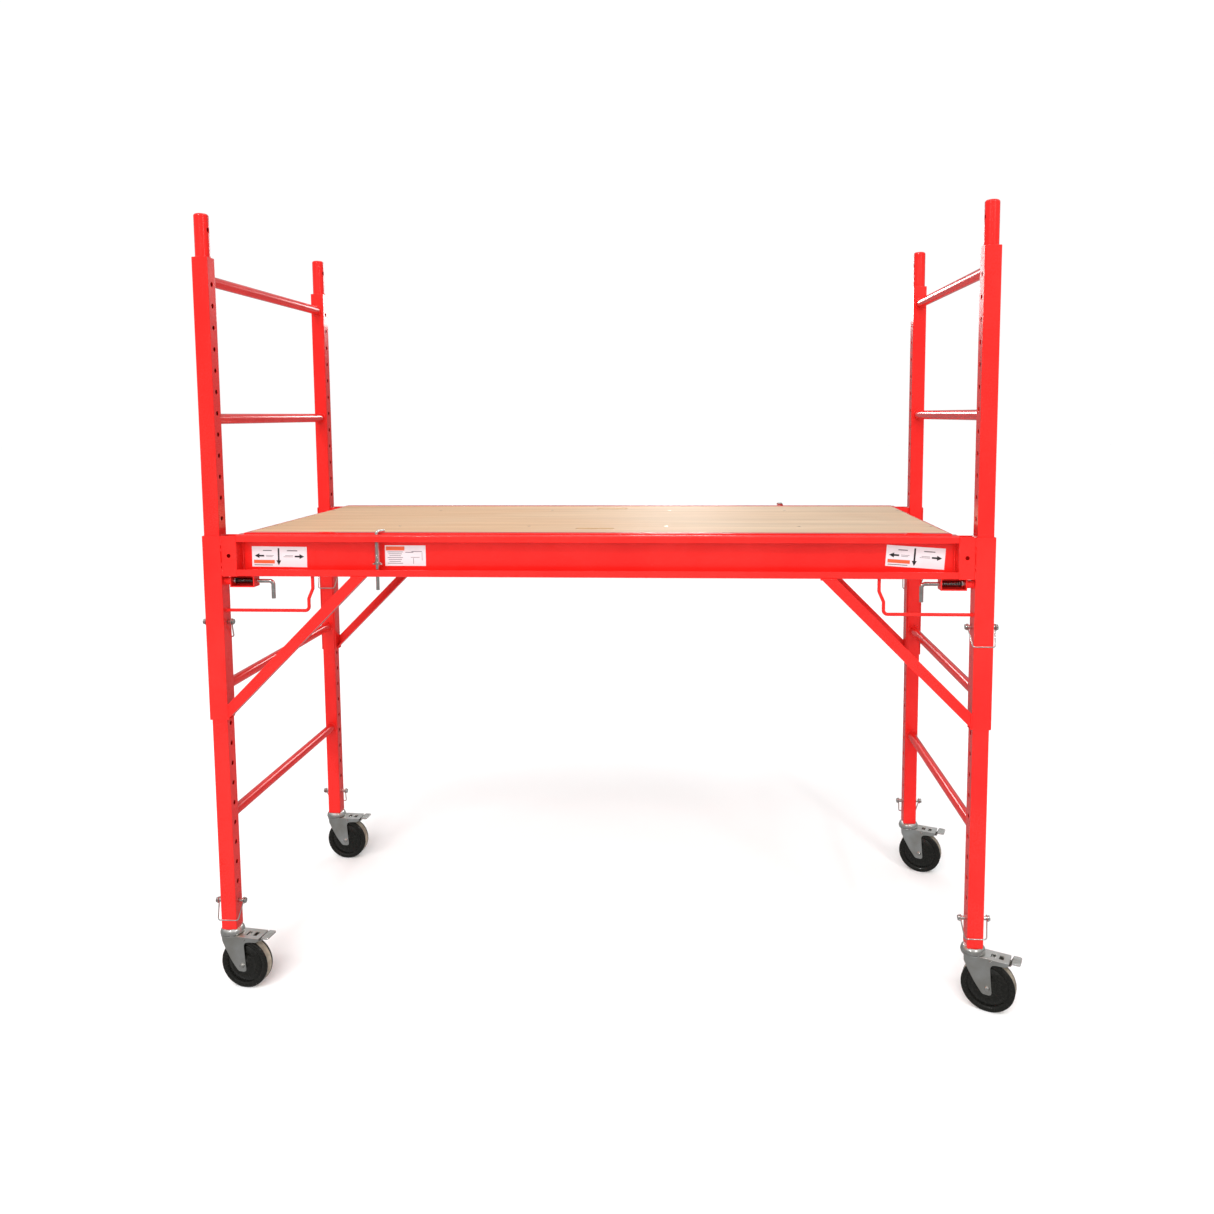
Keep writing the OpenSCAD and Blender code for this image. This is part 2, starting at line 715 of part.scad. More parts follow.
module caster_axle_fl() { caster_axle(FL); }
module caster_axle_fr() { caster_axle(FR); }
module caster_axle_rr() { caster_axle(RR); }
module caster_axle_rl() { caster_axle(RL); }

// Solid wheel with rounded shoulders, a ring groove in each face and a raised hub.
module caster_wheel(k) {
    r = wheel_d / 2;
    half = wheel_w / 2;
    shoulder = 5;
    hub_half = yoke_in - 0.6;
    color([0.1, 0.1, 0.09]) centred() at_caster(k) translate([trail, 0, axle_z]) rotate([90, 0, 0])
        rotate_extrude($fn = 96) difference() {
            union() {
                translate([5.08, -half]) square([r - shoulder - 5.08, wheel_w]);
                translate([5.08, -half + shoulder]) square([r - 5.08, wheel_w - 2 * shoulder]);
                for (s = [-1, 1]) translate([r - shoulder, s * (half - shoulder)]) circle(shoulder);
                translate([5.08, -hub_half]) square([9, 2 * hub_half]);
            }
            for (s = [-1, 1]) {
                translate([50, s * half]) circle(1.6, $fn = 24);
                translate([33, s * half]) circle(1.2, $fn = 24);
            }
        }
}

module caster_wheel_fl() { caster_wheel(FL); }
module caster_wheel_fr() { caster_wheel(FR); }
module caster_wheel_rr() { caster_wheel(RR); }
module caster_wheel_rl() { caster_wheel(RL); }

// Brake lever under the yoke's arm. It turns up behind the arm and ends in a level foot pad.
module brake_pedal(k) {
    t = 3;
    half = yoke_in - 0.8;
    lever_half = 14;
    pad_half = 20;
    pad_r = 6;
    pad_x = [90, 110];
    pad_z = 135.4;
    x = pedal_pivot[0];
    z = pedal_pivot[1];
    side = [
        [x + 6, z - 1.2], [80, z - 4], [87.5, z - 3.4], [pad_x[0] + 3, pad_z], [pad_x[0] + 3, pad_z + t],
        [pad_x[0] + 0.8, pad_z + t - 0.4], [85.8, z - 0.6], [79.5, z - 1], [x + 6, z + 1.8]
    ];
    color(ZINC) centred() at_caster(k) difference() {
        union() {
            translate([0, lever_half, 0]) rotate([90, 0, 0]) linear_extrude(2 * lever_half) polygon(side);
            translate([0, 0, pad_z]) linear_extrude(t) {
                translate([pad_x[0] + 1, -pad_half]) square([pad_x[1] - pad_r - pad_x[0] - 1, 2 * pad_half]);
                translate([pad_x[0] + 1, pad_r - pad_half])
                    square([pad_x[1] - pad_x[0] - 1, 2 * (pad_half - pad_r)]);
                for (w = [-1, 1]) translate([pad_x[1] - pad_r, w * (pad_half - pad_r)]) circle(pad_r);
            }
            translate([x, -half, z]) rotate([-90, 0, 0]) cylinder(d = 7, h = 2 * half);
            block([x, -lever_half, z - 1.2], [x + 7, lever_half, z + 1.8]);
        }
        translate([x, -40, z]) rotate([-90, 0, 0]) cylinder(d = 4.5, h = 80);
    }
}

module brake_pedal_fl() { brake_pedal(FL); }
module brake_pedal_fr() { brake_pedal(FR); }
module brake_pedal_rr() { brake_pedal(RR); }
module brake_pedal_rl() { brake_pedal(RL); }

posts_left();
posts_right();
rungs_left();
rungs_right();
coupling_pins();
truss_rail_front();
truss_rail_rear();
post_sleeves();
spacer_tubes();
knee_braces();
latch_housings();
handle_guards();
rail_labels();
deck_panel();
deck_frame();
deck_cross_members();
deck_screws();
sleeve_lock_pins();
caster_lock_pins();
caster_stems();
swivel_balls();
latch_rod_fl();
latch_rod_fr();
latch_rod_rr();
latch_rod_rl();
latch_spring_fl();
latch_spring_fr();
latch_spring_rr();
latch_spring_rl();
deck_lock_rod_front();
deck_lock_rod_rear();
deck_lock_washer_front();
deck_lock_washer_rear();
deck_lock_spring_front();
deck_lock_spring_rear();
sleeve_pin_bail_fl();
sleeve_pin_bail_fr();
sleeve_pin_bail_rr();
sleeve_pin_bail_rl();
caster_pin_bail_fl();
caster_pin_bail_fr();
caster_pin_bail_rr();
caster_pin_bail_rl();
caster_yoke_fl();
caster_yoke_fr();
caster_yoke_rr();
caster_yoke_rl();
caster_axle_fl();
caster_axle_fr();
caster_axle_rr();
caster_axle_rl();
caster_wheel_fl();
caster_wheel_fr();
caster_wheel_rr();
caster_wheel_rl();
brake_pedal_fl();
brake_pedal_fr();
brake_pedal_rr();
brake_pedal_rl();
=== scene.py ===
import json
import math

import bmesh
import bpy
from mathutils import Matrix, Vector


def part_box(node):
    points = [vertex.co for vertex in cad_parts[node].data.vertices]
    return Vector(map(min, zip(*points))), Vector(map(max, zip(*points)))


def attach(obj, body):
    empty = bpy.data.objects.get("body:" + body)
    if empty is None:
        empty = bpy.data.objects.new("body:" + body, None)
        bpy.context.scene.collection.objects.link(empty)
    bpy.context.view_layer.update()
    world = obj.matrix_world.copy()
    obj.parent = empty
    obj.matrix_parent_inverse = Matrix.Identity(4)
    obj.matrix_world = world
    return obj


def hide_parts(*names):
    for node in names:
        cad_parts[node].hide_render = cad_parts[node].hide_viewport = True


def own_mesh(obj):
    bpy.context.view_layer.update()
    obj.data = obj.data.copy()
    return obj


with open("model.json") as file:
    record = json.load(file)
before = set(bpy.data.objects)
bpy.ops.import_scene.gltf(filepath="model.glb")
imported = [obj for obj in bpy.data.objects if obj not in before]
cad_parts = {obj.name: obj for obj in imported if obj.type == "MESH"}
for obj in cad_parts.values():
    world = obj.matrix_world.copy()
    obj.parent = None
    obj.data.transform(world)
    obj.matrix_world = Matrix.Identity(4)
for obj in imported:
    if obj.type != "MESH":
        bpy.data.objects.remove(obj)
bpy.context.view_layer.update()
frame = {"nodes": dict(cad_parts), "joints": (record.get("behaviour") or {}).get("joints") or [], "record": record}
scene = bpy.context.scene


# ---- Studio ----
# The scaffold stands on a plain pale floor in a white room that is brighter towards its ceiling. The camera
# stands in front of it at the height of a person's eyes and looks slightly down.

eye = Vector((0.2121, -2.5634, 1.4293))
heading_left, look_down, lean = -0.0570, 0.0876, -0.0053
focal_share = 949.75 / 1214
view_shift = (-0.02815, -0.08974)

forward = Vector((
    math.sin(heading_left) * math.cos(look_down),
    math.cos(heading_left) * math.cos(look_down),
    -math.sin(look_down),
))
level_right = Vector((math.cos(heading_left), -math.sin(heading_left), 0))
level_up = level_right.cross(forward)
right = level_right * math.cos(lean) + level_up * math.sin(lean)
up = level_up * math.cos(lean) - level_right * math.sin(lean)
camera = bpy.data.objects.new("camera", bpy.data.cameras.new("camera"))
film_width = 36
camera.data.sensor_width = film_width
camera.data.lens = film_width * focal_share
camera.data.shift_x, camera.data.shift_y = view_shift
camera.matrix_world = Matrix.Translation(eye) @ Matrix((right, up, -forward)).transposed().to_4x4()
scene.collection.objects.link(camera)
scene.camera = camera
scene.view_settings.view_transform = "Standard"

room = bpy.data.worlds.new("white_room")
room.use_nodes = True
scene.world = room
glow = room.node_tree.nodes["Background"]
seen = room.node_tree.nodes.new("ShaderNodeBackground")
path = room.node_tree.nodes.new("ShaderNodeLightPath")
choose = room.node_tree.nodes.new("ShaderNodeMixShader")
glow.inputs["Color"].default_value = (1, 1, 1, 1)
direction = room.node_tree.nodes.new("ShaderNodeTexCoord")
height = room.node_tree.nodes.new("ShaderNodeSeparateXYZ")
ceiling = room.node_tree.nodes.new("ShaderNodeMapRange")
wall_rise, ceiling_rise = 0.15, 0.95
wall_glow, ceiling_glow = 0.27, 0.85
for socket, value in zip(ceiling.inputs[1:5], (wall_rise, ceiling_rise, wall_glow, ceiling_glow)):
    socket.default_value = value
room.node_tree.links.new(direction.outputs["Generated"], height.inputs[0])
room.node_tree.links.new(height.outputs["Z"], ceiling.inputs[0])
room.node_tree.links.new(ceiling.outputs[0], glow.inputs["Strength"])
seen.inputs["Color"].default_value = (1, 1, 1, 1)
backdrop_white = 1.02
seen.inputs["Strength"].default_value = backdrop_white
room.node_tree.links.new(path.outputs["Is Camera Ray"], choose.inputs[0])
room.node_tree.links.new(glow.outputs[0], choose.inputs[1])
room.node_tree.links.new(seen.outputs[0], choose.inputs[2])
room.node_tree.links.new(choose.outputs[0], room.node_tree.nodes["World Output"].inputs[0])


def soft_box(name, place, aim, size, power, mirrored):
    """A square studio lamp at place, turned towards aim. mirrored says whether glossy surfaces show it."""
    lamp = bpy.data.lights.new(name, "AREA")
    lamp.shape, lamp.size, lamp.energy = "SQUARE", size, power
    holder = bpy.data.objects.new(name, lamp)
    holder.location = place
    holder.rotation_euler = (Vector(aim) - Vector(place)).to_track_quat("-Z", "Y").to_euler()
    holder.visible_glossy = mirrored
    holder.visible_camera = False
    scene.collection.objects.link(holder)


platform = (0, 0, 0.7)
soft_box("key_lamp", (-0.1, -4.6, 1.9), (0, 0, 0.8), 1.8, 84, False)
soft_box("glint_lamp_left", (-1.3, -2.6, 2.9), platform, 0.22, 12, True)
soft_box("glint_lamp_right", (1.9, -2.2, 2.7), platform, 0.22, 12, True)
soft_box("glint_lamp_top", (0.0, 0.2, 4.2), platform, 1.2, 16, True)
soft_box("glint_lamp_back", (0.1, 3.6, 2.3), platform, 0.6, 12, True)

daylight = bpy.data.lights.new("daylight", "SUN")
sun_strength, sun_spread, sun_slant, sun_turn = 2.2, 50, 46, -8
daylight.energy, daylight.angle = sun_strength, math.radians(sun_spread)
window = bpy.data.objects.new("daylight", daylight)
window.rotation_euler = (math.radians(sun_slant), 0, math.radians(sun_turn))
window.visible_glossy = False
scene.collection.objects.link(window)

floor_mesh = bpy.data.meshes.new("floor")
floor_half = 40
floor_corners = [(x * floor_half, y * floor_half, 0) for x, y in ((-1, -1), (1, -1), (1, 1), (-1, 1))]
floor_mesh.from_pydata(floor_corners, [], [(0, 1, 2, 3)])
floor = bpy.data.objects.new("floor", floor_mesh)
floor.visible_glossy = False
scene.collection.objects.link(floor)


# ---- End frames ----
# Two ladders of square steel tube with round rungs, welded and powder coated red. The posts are drilled
# through at every two inches for the pins that hold everything else.

MM = 0.001


class Value:
    """A socket of a node tree, so that the sums of a material or a shape are written as plain expressions."""

    def __init__(self, nodes, socket):
        self.nodes = nodes
        self.socket = socket

    def _sum(self, operation, *terms):
        return self.nodes.add("ShaderNodeMath", {"operation": operation}, dict(enumerate(terms)))

    def __add__(self, other):
        return self._sum("ADD", self, other)

    def __radd__(self, other):
        return self._sum("ADD", other, self)

    def __sub__(self, other):
        return self._sum("SUBTRACT", self, other)

    def __rsub__(self, other):
        return self._sum("SUBTRACT", other, self)

    def __mul__(self, other):
        return self._sum("MULTIPLY", self, other)

    def __rmul__(self, other):
        return self._sum("MULTIPLY", other, self)

    def __truediv__(self, other):
        return self._sum("DIVIDE", self, other)

    def __gt__(self, other):
        return self._sum("GREATER_THAN", self, other)

    def sine(self):
        return self._sum("SINE", self)

    def size(self):
        return self._sum("ABSOLUTE", self)

    def part(self):
        return self._sum("FRACT", self)

    def between(self, low, high):
        """0 at low, 1 at high, and held at those beyond."""
        return self.nodes.add("ShaderNodeMapRange", {}, {0: self, 1: low, 2: high})


class Nodes:
    """The nodes of a material or of a shape. add() makes any of them."""

    def __init__(self, tree):
        self.tree = tree

    def add(self, kind, settings=None, inputs=None, output=0):
        node = self.tree.nodes.new(kind)
        for name, setting in (settings or {}).items():
            setattr(node, name, setting)
        for key, value in (inputs or {}).items():
            self.feed(node.inputs[key], value)
        return Value(self, node.outputs[output])

    def feed(self, socket, value):
        if isinstance(value, Value):
            self.tree.links.new(value.socket, socket)
        else:
            socket.default_value = value


class Finish(Nodes):
    """A material: one principled shader and what varies over the surface."""

    def __init__(self, name, colour, roughness, metallic=0.0):
        self.material = bpy.data.materials.new(name)
        self.material.use_nodes = True
        super().__init__(self.material.node_tree)
        self.shader = self.tree.nodes["Principled BSDF"]
        self.shader.inputs["Base Color"].default_value = (*colour, 1)
        self.shader.inputs["Roughness"].default_value = roughness
        self.shader.inputs["Metallic"].default_value = metallic
        self.place = self.add("ShaderNodeTexCoord", output="Object")

    def vary(self, **inputs):
        for name, value in inputs.items():
            self.feed(self.shader.inputs[name.replace("_", " ")], value)

    def stretched(self, scale):
        """Object coordinates with each axis scaled."""
        return self.add("ShaderNodeMapping", {}, {"Vector": self.place, "Scale": scale})

    def noise(self, scale, where=None, detail=2.0, warp=0.0):
        return self.add("ShaderNodeTexNoise", {}, {
            "Vector": where or self.place, "Scale": scale, "Detail": detail, "Distortion": warp,
        })

    def axis(self, name):
        return self.add("ShaderNodeSeparateXYZ", {}, {0: self.place}, "XYZ".index(name))

    def blend(self, share, low, high):
        """From the colour low, at share 0, to the colour high, at 1."""
        low, high = (colour if isinstance(colour, Value) else (*colour, 1) for colour in (low, high))
        return self.add("ShaderNodeMix", {"data_type": "RGBA"}, {0: share, 6: low, 7: high}, 2)

    def relief(self, height, depth, strength=1.0):
        """Bumps the surface by height, from 0 to 1, times depth in metres."""
        bump = self.add("ShaderNodeBump", {}, {"Height": height, "Distance": depth, "Strength": strength})
        self.vary(Normal=bump)


# The studio's floor is painted here because its finish needs the class above.
floor_finish = Finish("pale_floor", (0.94, 0.94, 0.94), 0.9)
floor_finish.vary(Roughness=0.85 + 0.1 * floor_finish.noise(3))
floor_finish.shader.inputs["Specular IOR Level"].default_value = 0.1
floor_mesh.materials.append(floor_finish.material)


def powder_coat():
    """Semi-gloss red powder coat with a fine orange peel, a little deeper in colour here and there."""
    finish = Finish("red_powder_coat", (0.80, 0.012, 0.010), 0.26)
    finish.shader.inputs["Specular IOR Level"].default_value = 0.25
    finish.shader.inputs["Coat Weight"].default_value = 0.6
    finish.shader.inputs["Coat Roughness"].default_value = 0.07
    finish.shader.inputs["Coat IOR"].default_value = 1.4
    cloud = finish.noise(5, detail=3)
    peel = finish.noise(700, detail=1)
    finish.vary(
        Base_Color=finish.blend(cloud.between(0.3, 0.7), (0.64, 0.010, 0.008), (0.74, 0.016, 0.012)),
        Roughness=0.18 + 0.12 * cloud + 0.06 * peel,
    )
    finish.relief(peel, 0.12 * MM, 0.5)
    return finish.material


red = powder_coat()


body_of = {node: body for body, group in frame["record"]["behaviour"]["bodies"].items() for node in group}


def on_body(name, mesh, body, slot, *replaced):
    """Makes an object of a mesh that is already in place, rides it on its body and hides the parts it replaces."""
    piece = bpy.data.objects.new(name, mesh)
    scene.collection.objects.link(piece)
    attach(piece, body)
    if replaced:
        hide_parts(*replaced)
    return piece


def finished(node, material, slot, edge=0.4 * MM, sharp=32):
    """A part's own shape with its faces joined, its sharp edges eased by edge and its curves smooth."""
    joined, flat_degrees = 0.002 * MM, 0.4
    mesh = frame["nodes"][node].data.copy()
    mesh.name = node + "_finished"
    shape = bmesh.new()
    shape.from_mesh(mesh)
    bmesh.ops.remove_doubles(shape, verts=shape.verts, dist=joined)
    bmesh.ops.dissolve_limit(
        shape, angle_limit=math.radians(flat_degrees), verts=shape.verts[:], edges=shape.edges[:],
        delimit={"NORMAL"},
    )
    for face in shape.faces:
        face.smooth = True
        face.material_index = 0
    shape.to_mesh(mesh)
    shape.free()
    mesh.materials.clear()
    mesh.materials.append(material)
    piece = on_body(node + "_finished", mesh, body_of[node], slot, node)
    ease = piece.modifiers.new("eased_edges", "BEVEL")
    ease.width, ease.segments, ease.limit_method = edge, 2, "ANGLE"
    ease.angle_limit = math.radians(sharp)
    ease.use_clamp_overlap = False
    even = piece.modifiers.new("even_faces", "WEIGHTED_NORMAL")
    even.weight = 100
    return piece


class Shape(Nodes):
    """A geometry tree that makes a finished mesh from a plain one. Its sizes are its named inputs."""

    def __init__(self, name, **sizes):
        super().__init__(bpy.data.node_groups.new(name, "GeometryNodeTree"))
        self.tree.interface.new_socket("Geometry", in_out="OUTPUT", socket_type="NodeSocketGeometry")
        self.tree.interface.new_socket("Geometry", in_out="INPUT", socket_type="NodeSocketGeometry")
        for size, kind in sizes.items():
            self.tree.interface.new_socket(size, in_out="INPUT", socket_type=f"NodeSocket{kind}")
        self.entry = self.tree.nodes.new("NodeGroupInput")
        self.exit = self.tree.nodes.new("NodeGroupOutput")

    def given(self, name):
        return Value(self, self.entry.outputs[name])

    def swept(self, curve, radius, sides, thick=None):
        """A round bar along a curve, as wide at each point as the curve's own radius says."""
        profile = self.add("GeometryNodeCurvePrimitiveCircle", {}, {"Resolution": sides, "Radius": radius})
        inputs = {"Curve": curve, "Profile Curve": profile, "Fill Caps": True}
        if thick is not None:
            inputs["Scale"] = thick
        bar = self.add("GeometryNodeCurveToMesh", {}, inputs)
        return self.add("GeometryNodeSetShadeSmooth", {}, {"Geometry": bar, "Shade Smooth": True})

    def ends_in(self, geometry, material):
        whole = self.add("GeometryNodeRealizeInstances", {}, {"Geometry": geometry})
        painted = self.add("GeometryNodeSetMaterial", {}, {"Geometry": whole, "Material": material})
        self.feed(self.exit.inputs[0], painted)

    def made(self, name, start, **sizes):
        """The plain mesh that the tree makes of a starting mesh."""
        holder = bpy.data.objects.new(name, start)
        scene.collection.objects.link(holder)
        modifier = holder.modifiers.new(name, "NODES")
        modifier.node_group = self.tree
        for item in self.tree.interface.items_tree:
            if item.in_out == "INPUT" and item.name in sizes:
                modifier[item.identifier] = sizes[item.name]
        evaluated = holder.evaluated_get(bpy.context.evaluated_depsgraph_get())
        result = bpy.data.meshes.new_from_object(evaluated)
        bpy.data.objects.remove(holder)
        result.name = name
        return result


def lines_mesh(name, *lines):
    """A mesh of edges alone. A line that ends where it starts is closed."""
    points, edges = [], []
    for line in lines:
        first = len(points)
        closed = (line[0] - line[-1]).length < 1e-6
        kept = line[:-1] if closed else line
        points += kept
        edges += [(first + n, first + n + 1) for n in range(len(kept) - 1)]
        if closed:
            edges.append((first + len(kept) - 1, first))
    mesh = bpy.data.meshes.new(name)
    mesh.from_pydata(points, edges, [])
    return mesh


def ring(middle, axis, radius, steps=24):
    """A closed circle of points around an axis."""
    across = axis.orthogonal().normalized()
    return [
        middle + Matrix.Rotation(2 * math.pi * (step % steps) / steps, 3, axis) @ across * radius
        for step in range(steps + 1)
    ]


deck_low, deck_high = (Vector(end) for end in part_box("deck_panel"))
deck_mid = (deck_low + deck_high) / 2
CORNERS = ("fl", "fr", "rr", "rl")
SIDES = {"fl": (-1, -1), "fr": (1, -1), "rr": (1, 1), "rl": (-1, 1)}
ALONG, ACROSS, UP = Vector((1, 0, 0)), Vector((0, 1, 0)), Vector((0, 0, 1))


def outward(corner, along, across, height):
    """A point given in millimetres outward from the deck's middle towards a corner, and up from the floor."""
    side_x, side_y = SIDES[corner]
    return Vector((deck_mid.x + side_x * along * MM, deck_mid.y + side_y * across * MM, height * MM))


# A run of overlapping puddles, as a hand welder leaves it, under the same powder coat.
bead = Shape("weld_bead", Radius="Float", Pitch="Float", Ripple="Float")
seam = bead.add("GeometryNodeMeshToCurve", {}, {"Mesh": bead.given("Geometry")})
seam = bead.add("GeometryNodeResampleCurve", {"mode": "LENGTH"}, {
    "Curve": seam, "Length": bead.given("Pitch") / 4,
})
run = bead.add("GeometryNodeSplineParameter", output="Length")
puddle = (run * math.pi / bead.given("Pitch")).sine().size()
lump = bead.add("ShaderNodeTexNoise", {}, {"Vector": bead.add("GeometryNodeInputPosition"), "Scale": 240.0})
bead.ends_in(
    bead.swept(seam, bead.given("Radius"), 8, 0.72 + bead.given("Ripple") * puddle + 0.3 * lump), red
)


puddle_pitch, puddle_ripple = 3, 0.4


def weld(name, radius, *lines):
    """Beads of a radius in millimetres along lines of points."""
    seams = lines_mesh(name, *lines)
    mesh = bead.made(name, seams, Radius=radius * MM, Pitch=puddle_pitch * MM, Ripple=puddle_ripple)
    on_body(name, mesh, "scaffold", "red_powder_coat")


post_along, post_across, post_half, post_top = 917, 349.25, 19.05, 1805
rung_drop, rung_pitch, rung_count = 51, 329.6, 5
rung_top = post_top - rung_drop
rung_bead, rung_ring, rung_collar = 1.9, 14.4, 2.2
pin_bead, pin_ring, pin_lift = 1.2, 17.3, 0.4
for end in ("left", "right"):
    finished(f"posts_{end}", red, "red_powder_coat", 0.5 * MM)
    finished(f"rungs_{end}", red, "red_powder_coat")
finished("coupling_pins", red, "red_powder_coat")
rung_end = post_across - post_half - rung_collar
weld("rung_welds", rung_bead, *[
    ring(outward(corner, post_along, rung_end, rung_top - step * rung_pitch), ACROSS, rung_ring * MM)
    for corner in CORNERS for step in range(rung_count)
])
weld("coupling_pin_welds", pin_bead, *[
    ring(outward(corner, post_along, post_across, post_top + pin_lift), UP, pin_ring * MM, 32)
    for corner in CORNERS
])


# ---- Side trusses ----
# A lipped steel channel runs along each side, with a sleeve at each end that closes round a post. Angle
# iron braces the corners at 45 degrees. The whole truss is welded, then powder coated.

rail_top, rail_bottom = 1146.5, 1044.9
sleeve_in, truss_out = 894.55, 370.2
rail_end = sleeve_in - 2 * post_half
for node in ("truss_rail_front", "truss_rail_rear", "post_sleeves", "spacer_tubes", "knee_braces"):
    finished(node, red, "red_powder_coat", 0.5 * MM)

seam_across = truss_out - 0.9
web_across = truss_out - 2 * post_half + 3.4
sleeve_stitches = ((1048, 1064), (1071, 1079), (1106, 1113), (1122, 1141))
lip_gap = 5
brace_reach, brace_side = 577, 25.4
brace_foot = rail_bottom - (sleeve_in - brace_reach)
brace_cut = (-1, brace_side * math.sqrt(2) + 1)
truss_bead = 2.2
truss_seams = []
for corner in CORNERS:
    for stitch in sleeve_stitches:
        truss_seams.append([outward(corner, sleeve_in - 0.7, seam_across, z) for z in stitch])
    truss_seams += [
        [outward(corner, rail_end - 1.2, web_across, z) for z in (rail_bottom + lip_gap, rail_top - lip_gap)],
        [outward(corner, sleeve_in - 0.8, truss_out - 1.2, brace_foot - run) for run in brace_cut],
        [outward(corner, brace_reach - run, truss_out - 1.4, rail_bottom - 1) for run in brace_cut],
        [outward(corner, sleeve_in - 0.8, across, brace_foot - brace_cut[1] + 0.2)
         for across in (truss_out - 1, truss_out - 25)],
    ]
weld("truss_welds", truss_bead, *truss_seams)


# ---- Handle guards and latch housings ----
# Under each end of a rail a bent rod keeps the latch's handle clear, and a folded plate holds the latch. Both
# are welded to the truss and coated with it.

finished("latch_housings", red, "red_powder_coat", 0.4 * MM)
finished("handle_guards", red, "red_powder_coat", 0.1 * MM, 60)
guard_height, guard_reach, guard_ring = 958.5, 679, 4.8
latch_height, latch_ring = 1031.3, 10.2
housing_tacks = ((14.6, 818, 824), (-15.4, 822, 872))
guard_bead = 1.3
guard_welds = []
for corner in CORNERS:
    guard_welds += [
        ring(outward(corner, sleeve_in - 0.6, post_across, guard_height), ALONG, guard_ring * MM, 16),
        ring(outward(corner, guard_reach, post_across, rail_bottom - 0.6), UP, guard_ring * MM, 16),
        ring(outward(corner, sleeve_in - 0.8, post_across, latch_height), ALONG, latch_ring * MM, 20),
    ]
    for across, *tack in housing_tacks:
        guard_welds.append([
            outward(corner, along, post_across + across, rail_bottom - 0.8) for along in tack
        ])
weld("guard_welds", guard_bead, *guard_welds)


# ---- Stickers ----
# Printed film stuck on the rails' webs. Arrows, a bar and fine lines are a plain stand-in for the print, each
# mark a thin raised plate.

def film():
    """Slightly glossy film, off-white with a cool tinge."""
    finish = Finish("label_film", (0.70, 0.64, 0.66), 0.32)
    cloud = finish.noise(30, detail=2)
    finish.vary(
        Base_Color=finish.blend(cloud, (0.66, 0.60, 0.62), (0.74, 0.68, 0.70)), Roughness=0.26 + 0.14 * cloud
    )
    return finish.material


def ink(name, colour):
    """Printer's ink that has worn thin in specks."""
    finish = Finish(name, colour, 0.4)
    wear = finish.noise(900, detail=2)
    faded = tuple(0.6 * part + 0.15 for part in colour)
    finish.vary(
        Base_Color=finish.blend(wear.between(0.62, 0.75), colour, faded),
        Roughness=0.34 + 0.12 * wear,
    )
    return finish.material


INKS = {
    "black": ink("black_ink", (0.012, 0.010, 0.012)),
    "orange": ink("orange_ink", (0.72, 0.10, 0.03)),
    "grey": ink("grey_ink", (0.16, 0.14, 0.15)),
}
finished("rail_labels", film(), "label_film", 0.05 * MM)


def bar(u, v, width, height):
    """A rectangle whose middle is at u, v, in millimetres from the middle of its sticker."""
    return [(u - width / 2, v - height / 2), (u + width / 2, v - height / 2),
            (u + width / 2, v + height / 2), (u - width / 2, v + height / 2)]


def arrow(u, v, length, turn, shaft=4.2, head=12):
    """An arrow whose middle is at u, v. turn 0 points right and -90 down."""
    tip, neck = length / 2, length / 2 - head
    outline = [(-tip, -shaft / 2), (neck, -shaft / 2), (neck, -head / 2), (tip, 0), (neck, head / 2),
               (neck, shaft / 2), (-tip, shaft / 2)]
    turned = Matrix.Rotation(math.radians(turn), 2)
    return [tuple(turned @ Vector(point) + Vector((u, v))) for point in outline]


# Wide stickers show which way the trusses go; the small one by the left deck lock is all fine lines.
wide_marks = {
    "black": [arrow(-2, 0, 42, -90), arrow(-50, 2, 24, 180), arrow(50, 1, 24, 0)],
    "orange": [bar(-38, -12.5, 52, 8.5)],
    "grey": [bar(-30, 15, 22, 2.6), bar(32, 15, 26, 2.6), bar(-24, 3, 20, 1.2), bar(-25, 0, 16, 1.2),
             bar(24, 3, 20, 1.2), bar(22, 0, 24, 1.2), bar(-40, -20.5, 46, 2)],
}
fine_marks = {
    "orange": [bar(-25, 17.5, 46, 10)],
    "grey": [bar(-25, 9 - 4.6 * row, 38 - 5 * (row % 3), 1.5) for row in range(7)]
    + [bar(28, 10, 26, 1.6), bar(10, 8, 20, 1.6), bar(41, -2, 1.2, 20), bar(24, -4, 22, 1.2),
       bar(20, -13, 1.2, 14)],
}
marked = {colour: ([], []) for colour in INKS}
# Each sticker's place along the rail, its height, how many degrees askew it was put on, and its marks.
LABELS = ((-765.5, 1088.3, 0.6, wide_marks), (-453, 1092, 0, fine_marks), (765, 1092, 3.8, wide_marks))
web_thick, film_thick, print_thick = 2.5, 0.4, 0.12
print_across = truss_out - 2 * post_half + web_thick + film_thick
for side in (1, -1):
    for along, height, tilt, marks in LABELS:
        lean_over = Matrix.Rotation(-math.radians(tilt), 2)
        for colour, outlines in marks.items():
            points, faces = marked[colour]
            for outline in outlines:
                first, count = len(points), len(outline)
                for depth in (0, print_thick):
                    for point in outline:
                        u, v = lean_over @ Vector(point)
                        points.append(Vector((
                            deck_mid.x + side * (along + u) * MM,
                            deck_mid.y - side * (print_across + depth) * MM,
                            (height + v) * MM,
                        )))
                faces.append([first + count + n for n in range(count)])
                faces.append([first + n for n in reversed(range(count))])
                faces += [
                    [first + n, first + (n + 1) % count, first + count + (n + 1) % count, first + count + n]
                    for n in range(count)
                ]
for colour, (points, faces) in marked.items():
    mesh = bpy.data.meshes.new(f"label_print_{colour}")
    mesh.from_pydata(points, [], faces)
    mesh.materials.append(INKS[colour])
    on_body(f"label_print_{colour}", mesh, "scaffold", "label_film")


# ---- Deck ----
# Birch plywood in a welded steel edge that laps over the rails. Hat sections carry it underneath, and it is
# held by countersunk screws.

